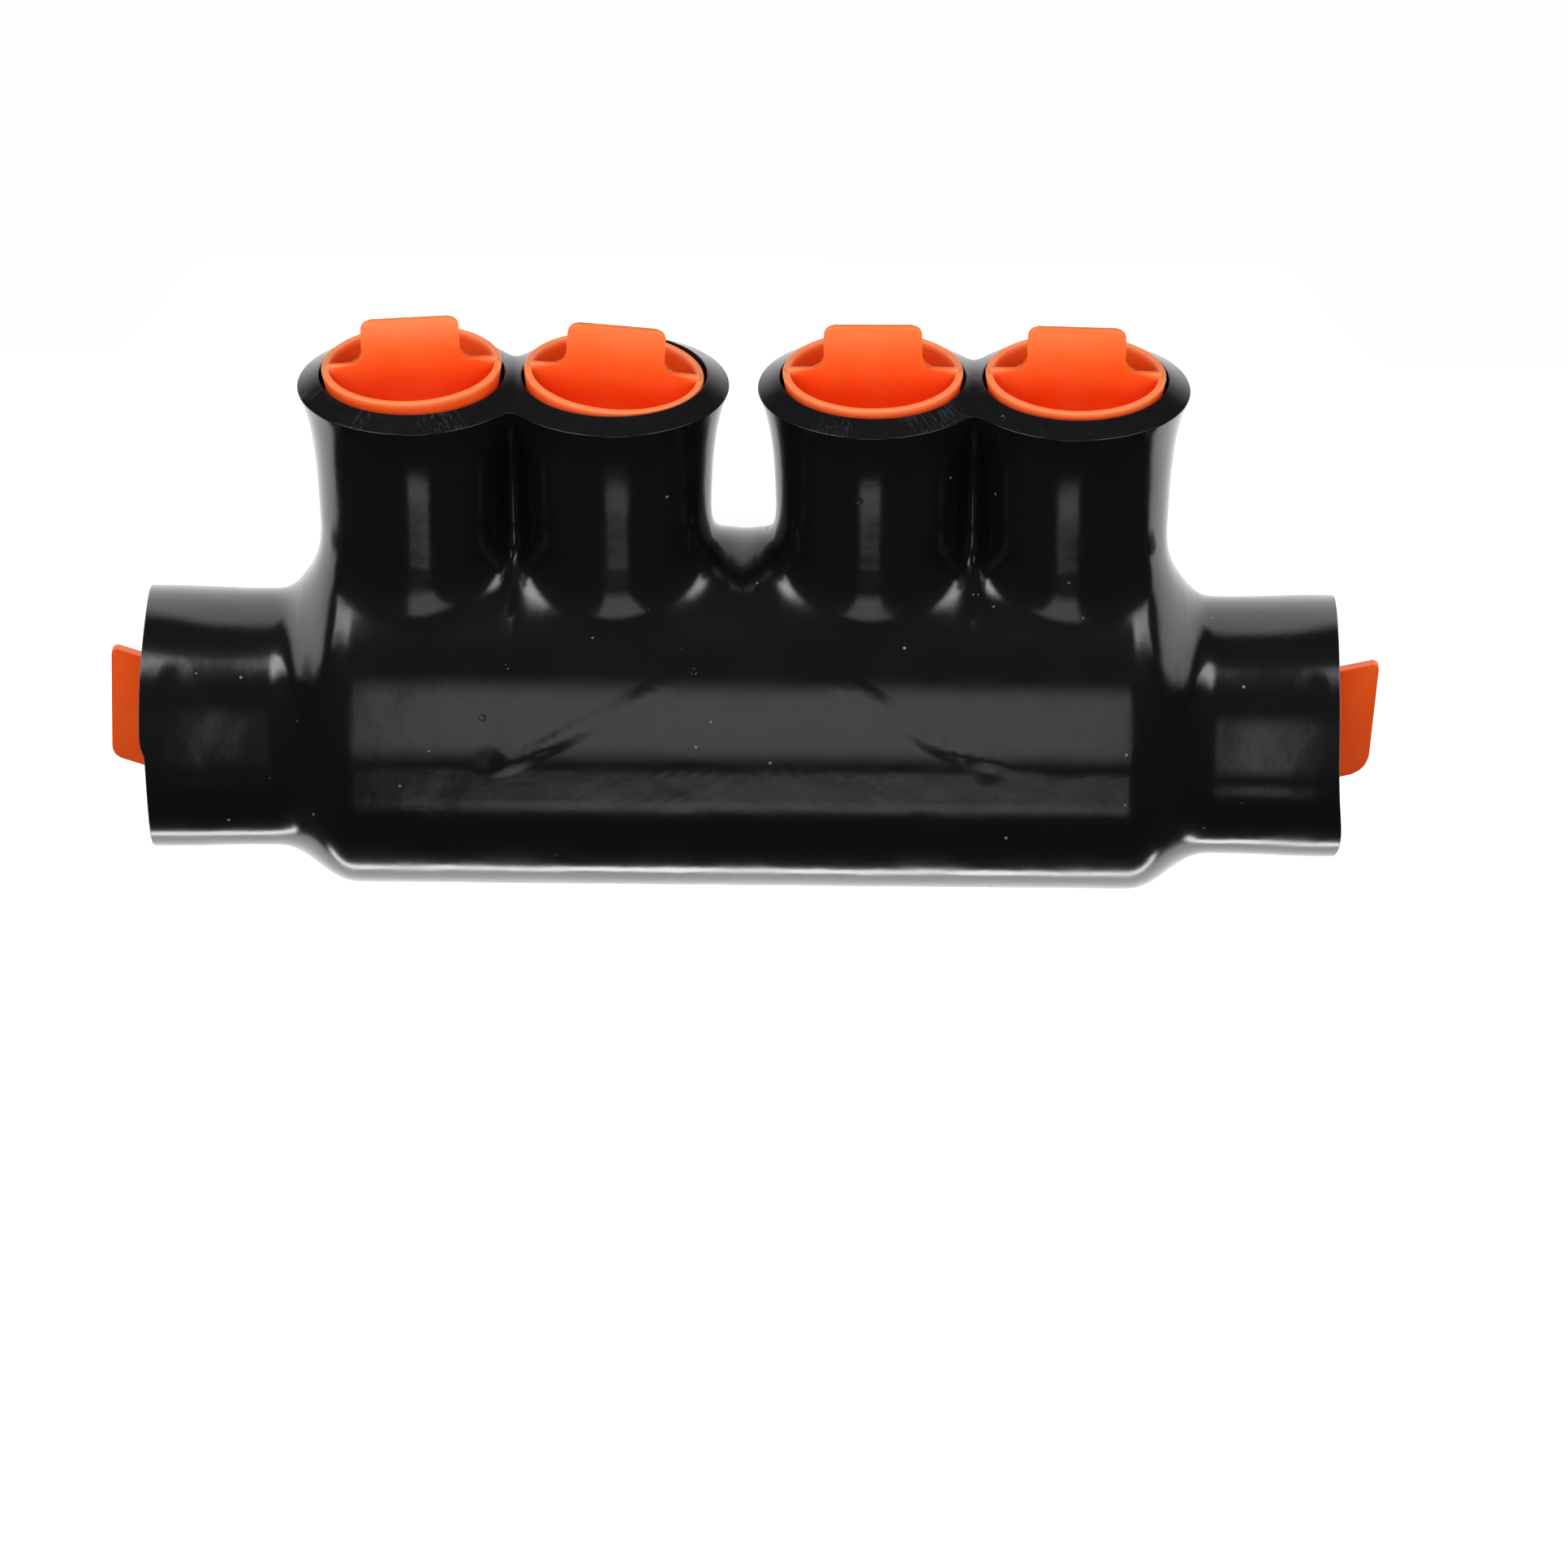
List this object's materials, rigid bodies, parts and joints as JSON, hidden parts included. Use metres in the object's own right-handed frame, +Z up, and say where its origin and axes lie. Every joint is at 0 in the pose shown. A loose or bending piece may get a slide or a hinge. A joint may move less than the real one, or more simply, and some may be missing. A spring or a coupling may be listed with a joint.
{
  "type": "insulated in-line wire connector",
  "caption": "Insulated in-line splice for two heavy wires: a dip-moulded jacket over an aluminium bar, with capped set-screw chimneys and a plugged wire port at each end.",
  "frame": {"origin": "middle of the bottom of the part's box, as the connector lies on its back", "axes": "+X along the wires from the left port to the right one, +Y out of the chimneys' rims, +Z up from the surface that the connector lies on"},
  "size_m": [0.1684, 0.0802, 0.0446],
  "materials": {
    "jacket": "glossy dip-moulded black",
    "bar": "extruded and machined",
    "screw": "machined",
    "cap": "satin orange",
    "plug": "satin orange"
  },
  "bodies": {
    "splice": {"cover": "jacket", "connector_body": "bar"},
    "set_screw_1": {"set_screw_1": "screw"},
    "set_screw_2": {"set_screw_2": "screw"},
    "set_screw_3": {"set_screw_3": "screw"},
    "set_screw_4": {"set_screw_4": "screw"},
    "screw_cap_1": {"screw_cap_1": "cap"},
    "screw_cap_2": {"screw_cap_2": "cap"},
    "screw_cap_3": {"screw_cap_3": "cap"},
    "screw_cap_4": {"screw_cap_4": "cap"},
    "port_plug_left": {"port_plug_left": "plug"},
    "port_plug_right": {"port_plug_right": "plug"}
  },
  "joints": [
    {"name": "set_screw_1_travel", "type": "slide", "parent": "splice", "child": "set_screw_1", "axis": [0, -0.9875, 0.1576], "range_m": [0, 0.011]},
    {"name": "set_screw_2_travel", "type": "slide", "parent": "splice", "child": "set_screw_2", "axis": [0, -0.9875, 0.1576], "range_m": [0, 0.011]},
    {"name": "set_screw_3_travel", "type": "slide", "parent": "splice", "child": "set_screw_3", "axis": [0, -0.9875, 0.1576], "range_m": [0, 0.011]},
    {"name": "set_screw_4_travel", "type": "slide", "parent": "splice", "child": "set_screw_4", "axis": [0, -0.9875, 0.1576], "range_m": [0, 0.011]},
    {"name": "screw_cap_1_pull", "type": "slide", "parent": "splice", "child": "screw_cap_1", "axis": [0, 0.9875, -0.1576], "range_m": [0, 0.014]},
    {"name": "screw_cap_2_pull", "type": "slide", "parent": "splice", "child": "screw_cap_2", "axis": [0, 0.9875, -0.1576], "range_m": [0, 0.014]},
    {"name": "screw_cap_3_pull", "type": "slide", "parent": "splice", "child": "screw_cap_3", "axis": [0, 0.9875, -0.1576], "range_m": [0, 0.014]},
    {"name": "screw_cap_4_pull", "type": "slide", "parent": "splice", "child": "screw_cap_4", "axis": [0, 0.9875, -0.1576], "range_m": [0, 0.014]},
    {"name": "port_plug_left_pull", "type": "slide", "parent": "splice", "child": "port_plug_left", "axis": [-1, 0, 0], "range_m": [0, 0.02]},
    {"name": "port_plug_right_pull", "type": "slide", "parent": "splice", "child": "port_plug_right", "axis": [1, 0, 0], "range_m": [0, 0.02]}
  ]
}
